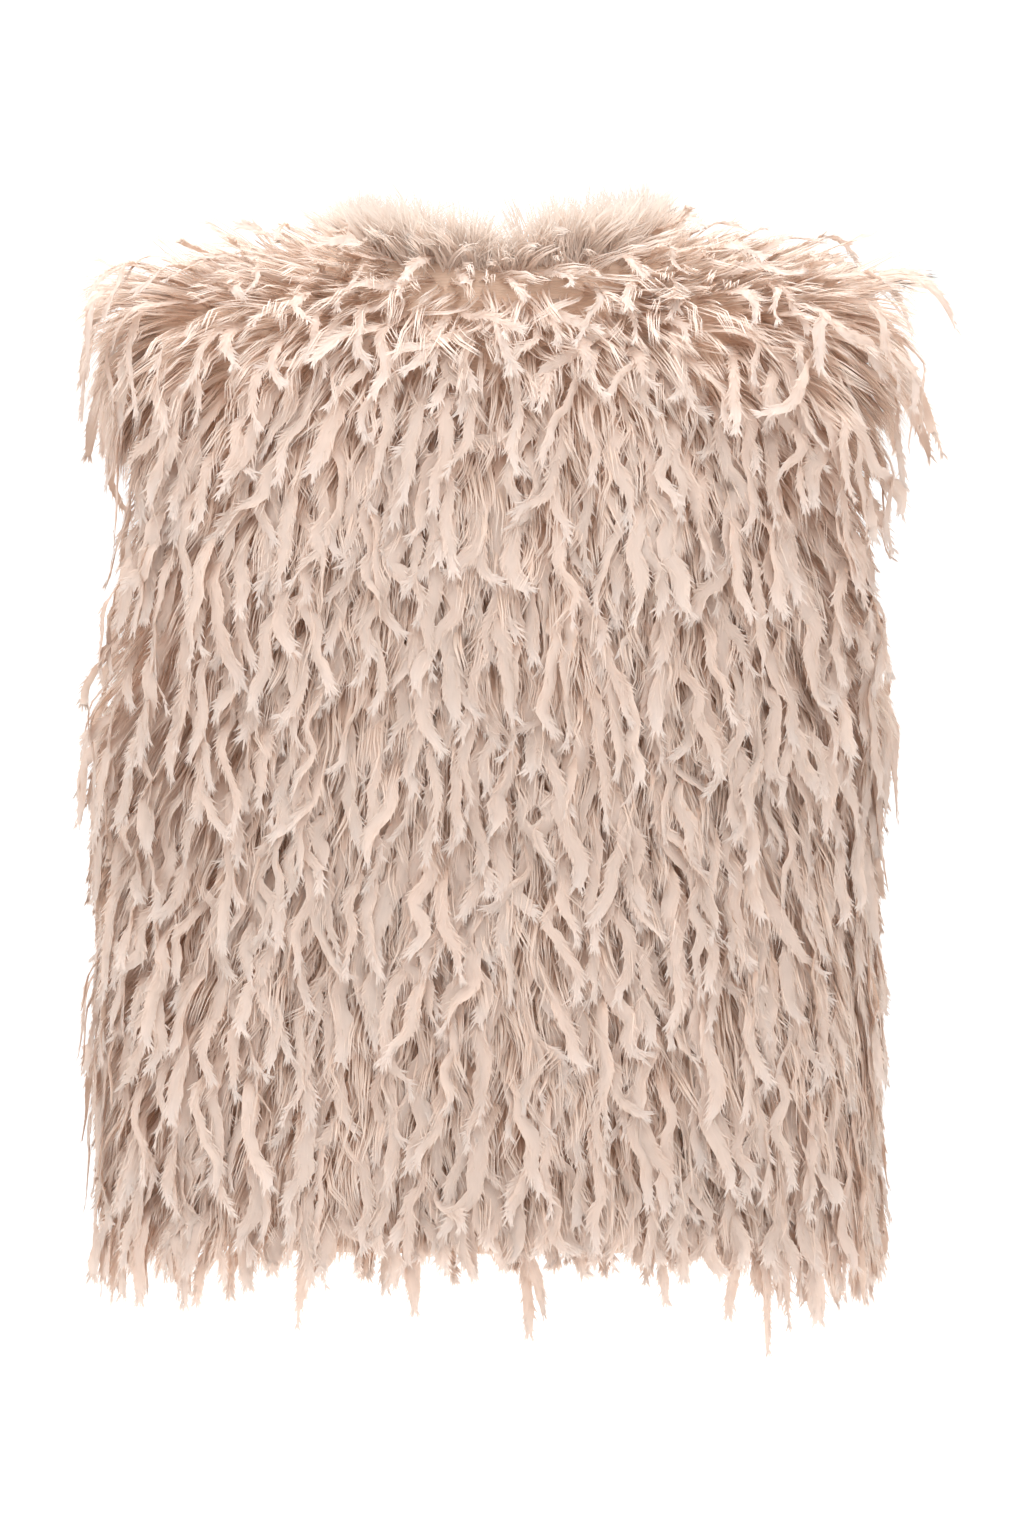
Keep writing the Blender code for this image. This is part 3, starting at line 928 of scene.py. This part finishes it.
# locks that lie out of line, listed one by one: across and height of the root, length, lean and curl
strayLocks = (
    # round the neck and over the shoulder blades
    {"x": 0.015, "top": -0.002, "length": 0.055, "lean": 1.0, "curl": -0.2},
    {"x": 0.078, "top": -0.007, "length": 0.085, "lean": -1.3, "curl": 0.8},
    {"x": 0.104, "top": 0.000, "length": 0.060, "lean": -0.2, "curl": -0.2},
    {"x": 0.062, "top": -0.018, "length": 0.058, "lean": -0.3, "curl": 0.1},
    {"x": 0.080, "top": -0.016, "length": 0.060, "lean": -0.5, "curl": 0.1},
    {"x": -0.035, "top": -0.026, "length": 0.060, "lean": 0.7, "curl": -0.8},
    {"x": -0.078, "top": -0.010, "length": 0.070, "lean": -0.8, "curl": -0.1},
    {"x": -0.052, "top": 0.000, "length": 0.075, "lean": -0.9, "curl": 0.3},
    {"x": 0.034, "top": -0.074, "length": 0.085, "lean": -1.2, "curl": 0.3},
    {"x": 0.001, "top": -0.058, "length": 0.075, "lean": -0.9, "curl": 0.1},
    {"x": -0.030, "top": 0.005, "length": 0.060, "lean": 1.0, "curl": 0.0},
    {"x": -0.010, "top": -0.014, "length": 0.065, "lean": -1.0, "curl": 0.2},
    {"x": 0.140, "top": -0.010, "length": 0.070, "lean": -0.4, "curl": 0.1},
    {"x": 0.172, "top": -0.010, "length": 0.065, "lean": -0.6, "curl": -0.1},
    # past the armholes
    {"x": -0.190, "top": -0.034, "length": 0.085, "lean": -0.3, "curl": -0.3},
    {"x": -0.190, "top": -0.060, "length": 0.080, "lean": -0.2, "curl": 0.2},
    {"x": -0.190, "top": -0.084, "length": 0.080, "lean": -0.4, "curl": 0.1},
    {"x": -0.190, "top": -0.102, "length": 0.075, "lean": -0.5, "curl": -0.1},
    {"x": -0.190, "top": -0.120, "length": 0.080, "lean": -0.4, "curl": 0.3},
    {"x": -0.190, "top": -0.138, "length": 0.070, "lean": -0.5, "curl": 0.0},
    {"x": -0.190, "top": -0.156, "length": 0.075, "lean": -0.3, "curl": 0.2},
    {"x": 0.190, "top": -0.110, "length": 0.080, "lean": 0.4, "curl": -0.1},
    {"x": 0.190, "top": -0.128, "length": 0.075, "lean": 0.5, "curl": 0.1},
    {"x": 0.190, "top": -0.146, "length": 0.080, "lean": 0.4, "curl": -0.2},
    {"x": 0.190, "top": -0.056, "length": 0.090, "lean": 0.5, "curl": 0.5},
    {"x": 0.190, "top": -0.050, "length": 0.090, "lean": 0.1, "curl": -0.2},
    # below the hem
    {"x": -0.205, "top": -0.508, "length": 0.075, "lean": 0.1, "curl": 0.2},
    {"x": -0.100, "top": -0.506, "length": 0.082, "lean": 0.0, "curl": -0.3},
    {"x": -0.043, "top": -0.510, "length": 0.070, "lean": -0.1, "curl": 0.4},
    {"x": 0.010, "top": -0.505, "length": 0.085, "lean": 0.1, "curl": -0.1},
    {"x": 0.021, "top": -0.508, "length": 0.074, "lean": 0.0, "curl": 0.1},
    {"x": 0.086, "top": -0.504, "length": 0.070, "lean": 0.1, "curl": 0.2},
    {"x": 0.134, "top": -0.509, "length": 0.075, "lean": 0.0, "curl": -0.3},
    {"x": 0.152, "top": -0.514, "length": 0.090, "lean": 0.0, "curl": -0.2},
    {"x": 0.167, "top": -0.515, "length": 0.075, "lean": 0.1, "curl": 0.2},
    {"x": 0.187, "top": -0.512, "length": 0.080, "lean": 0.2, "curl": 0.5},
)


def strayRoots():
    starts = np.array([(row["x"], cadBox[0][1], row["top"]) for row in strayLocks])
    spots, normals = ground.nearest(starts)
    shapes = {key: np.array([row[key] for row in strayLocks]) for key in ("length", "lean", "curl")}
    return spots, normals, shapes


def makeLocks(name, roots, normals, seed, strays=None):
    rng = np.random.default_rng(seed)
    paths = growPaths(roots, normals, locksGrowth, rng, strays)
    groups, shape = sweepRibbons(paths, locksGrowth, rng)
    return newMesh(name, groups + growLockHairs(paths, shape, locksGrowth, rng), locksMaterial)


def makeUndercoat(name, roots, normals, seed, growth, material):
    rng = np.random.default_rng(seed)
    paths = growPaths(roots, normals, growth, rng)
    return newMesh(name, growUndercoatHairs(paths, growth, rng), material)


# the back's coat is split in two, with every other root in each, so that both meshes stay light
coatParts = {"back": ("Lower", "Upper"), "leftFront": ("",), "rightFront": ("",)}
fur = {panel: [] for panel in coatParts}
for number, (panel, names) in enumerate(coatParts.items()):
    seed = 100 * (number + 1)
    arrays = panelArrays[panel + "Cloth"]
    lockRoots, lockNormals = scatter(arrays, locksGrowth["spacing"], np.random.default_rng(seed))
    hairRoots, hairNormals = scatter(arrays, undercoatGrowth["spacing"], np.random.default_rng(seed + 1))
    neckRoots, neckNormals = edgeRoots(arrays, neckTree, neck, np.random.default_rng(seed + 2))
    armRoots, armNormals = edgeRoots(arrays, armholeTree, armhole, np.random.default_rng(seed + 3))
    fur[panel].append(makeUndercoat(panel + "NeckFluff", neckRoots, neckNormals, seed + 30,
                                    fluffGrowth, litFluffMaterial))
    fur[panel].append(makeUndercoat(panel + "ArmholeFluff", armRoots, armNormals, seed + 40,
                                    armholeGrowth, undercoatMaterial))
    for part, suffix in enumerate(names):
        chosen = slice(part, None, len(names))
        roots, normals, strays = lockRoots[chosen], lockNormals[chosen], None
        if suffix == "Upper":
            extraRoots, extraNormals, strays = strayRoots()
            roots, normals = np.concatenate([roots, extraRoots]), np.concatenate([normals, extraNormals])
        fur[panel].append(makeLocks(panel + "Locks" + suffix, roots, normals, seed + 10 + part, strays))
        fur[panel].append(makeUndercoat(panel + "Undercoat" + suffix, hairRoots[chosen],
                                        hairNormals[chosen], seed + 20 + part,
                                        undercoatGrowth, undercoatMaterial))
    print(panel, len(lockRoots), "locks,", len(hairRoots), "undercoat tufts,",
          len(neckRoots), "neck tufts,", len(armRoots), "armhole tufts")


# every piece rides on the one body, and the cloth and locks stand for the plain solids

for name, piece in sheets.items():
    panel = name.replace("Cloth", "")
    piece.data.materials.append(backingMaterial)
    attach(piece, "root")
    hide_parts(cloth["panels"][name])
    for part in fur[panel]:
        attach(part, "root")
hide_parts("hem_locks", "neck_locks", "armhole_locks_left", "armhole_locks_right")


# studio: white sweep, soft lights and the camera behind the garment

studio = {
    "floorHeight": -1.40,
    "floorSize": 26.0,
    "wallAt": 11.0,
    "wallHeight": 8.0,
    "sweep": 1.6,
    "sweepSteps": 16,
    "white": {
        "Base Color": (0.93, 0.93, 0.93, 1),
        "Roughness": 0.9,
        "Emission Color": (1, 1, 1, 1),
        "Emission Strength": 0.62,
    },
    "world": 0.41,
    "lights": {
        "key": {"place": (-0.3, -3.4, 0.6), "size": 2.8, "power": 8.0, "colour": (1.0, 1.0, 1.0)},
        "top": {"place": (0.1, -2.2, 1.6), "size": 2.2, "power": 28.0, "colour": (1.0, 1.0, 1.0)},
        "crown": {"place": (0.0, -0.1, 2.0), "size": 3.0, "power": 130.0, "colour": (0.91, 0.97, 1.0)},
        "left": {"place": (-2.8, -1.2, 0.3), "size": 2.0, "power": 29.0, "colour": (0.97, 0.99, 1.0)},
        "right": {"place": (2.8, -1.2, 0.3), "size": 2.0, "power": 19.0, "colour": (0.97, 0.99, 1.0)},
    },
}
shot = {
    "aim": (0.0075, 0.0, -0.293),
    "distance": 6.0,
    "elevation": 6.0,
    "viewHeight": 0.845,
    "sensor": 36.0,
    "clipEnd": 60,
}


def buildStage():
    deselectAll()
    bpy.ops.mesh.primitive_plane_add(size=studio["floorSize"], location=(0, 0, studio["floorHeight"]))
    stage = bpy.context.object
    stage.name = "studioSweep"
    bpy.ops.object.transform_apply(location=True, rotation=True, scale=True)
    for vert in stage.data.vertices:
        vert.co.y = studio["wallAt"] if vert.co.y > 0 else vert.co.y
    for edge in stage.data.edges:
        edge.select = all(stage.data.vertices[index].co.y > 0 for index in edge.vertices)
    for vert in stage.data.vertices:
        vert.select = vert.co.y > 0
    for face in stage.data.polygons:
        face.select = False
    bpy.ops.object.mode_set(mode="EDIT")
    bpy.ops.mesh.select_mode(type="EDGE")
    bpy.ops.mesh.extrude_region_move(TRANSFORM_OT_translate={"value": (0, 0, studio["wallHeight"])})
    bpy.ops.object.mode_set(mode="OBJECT")
    bend = stage.modifiers.new("sweep", "BEVEL")
    bend.width = studio["sweep"]
    bend.segments = studio["sweepSteps"]
    bpy.ops.object.modifier_apply(modifier="sweep")
    bpy.ops.object.shade_smooth()
    board = Board("studioWhite", studio["white"])
    board.material.cycles.emission_sampling = "NONE"
    stage.data.materials.append(board.material)


def buildLights():
    world = bpy.data.worlds.new("studioAir")
    world.use_nodes = True
    world.node_tree.nodes["Background"].inputs["Color"].default_value = (1.0, 1.0, 1.0, 1)
    world.node_tree.nodes["Background"].inputs["Strength"].default_value = studio["world"]
    bpy.context.scene.world = world
    for name, light in studio["lights"].items():
        deselectAll()
        bpy.ops.object.light_add(type="AREA", location=light["place"])
        lamp = bpy.context.object
        lamp.name = name + "Light"
        lamp.data.size = light["size"]
        lamp.data.energy = light["power"]
        lamp.data.color = light["colour"]
        aim = np.array(shot["aim"]) - np.array(light["place"])
        flat = math.hypot(aim[0], aim[1])
        lamp.rotation_euler = (math.atan2(flat, -aim[2]), 0, math.atan2(aim[1], aim[0]) - math.pi / 2)


def buildCamera():
    camera = bpy.data.cameras.new("shotCamera")
    camera.sensor_width = shot["sensor"]
    camera.lens = shot["sensor"] * shot["distance"] / shot["viewHeight"]
    camera.clip_end = shot["clipEnd"]
    holder = bpy.data.objects.new("shotCamera", camera)
    bpy.context.scene.collection.objects.link(holder)
    tilt = math.radians(shot["elevation"])
    aim = shot["aim"]
    back = shot["distance"] * math.cos(tilt)
    up = shot["distance"] * math.sin(tilt)
    holder.location = (aim[0], aim[1] - back, aim[2] + up)
    holder.rotation_euler = (math.pi / 2 - tilt, 0, 0)
    bpy.context.scene.camera = holder


buildStage()
buildLights()
buildCamera()
bpy.context.scene.view_settings.view_transform = "Standard"
print("studio set")

triangleCount = {piece.name: sum(len(face.vertices) - 2 for face in piece.data.polygons)
                 for group in fur.values() for piece in group}
print("triangles", triangleCount, sum(triangleCount.values()))
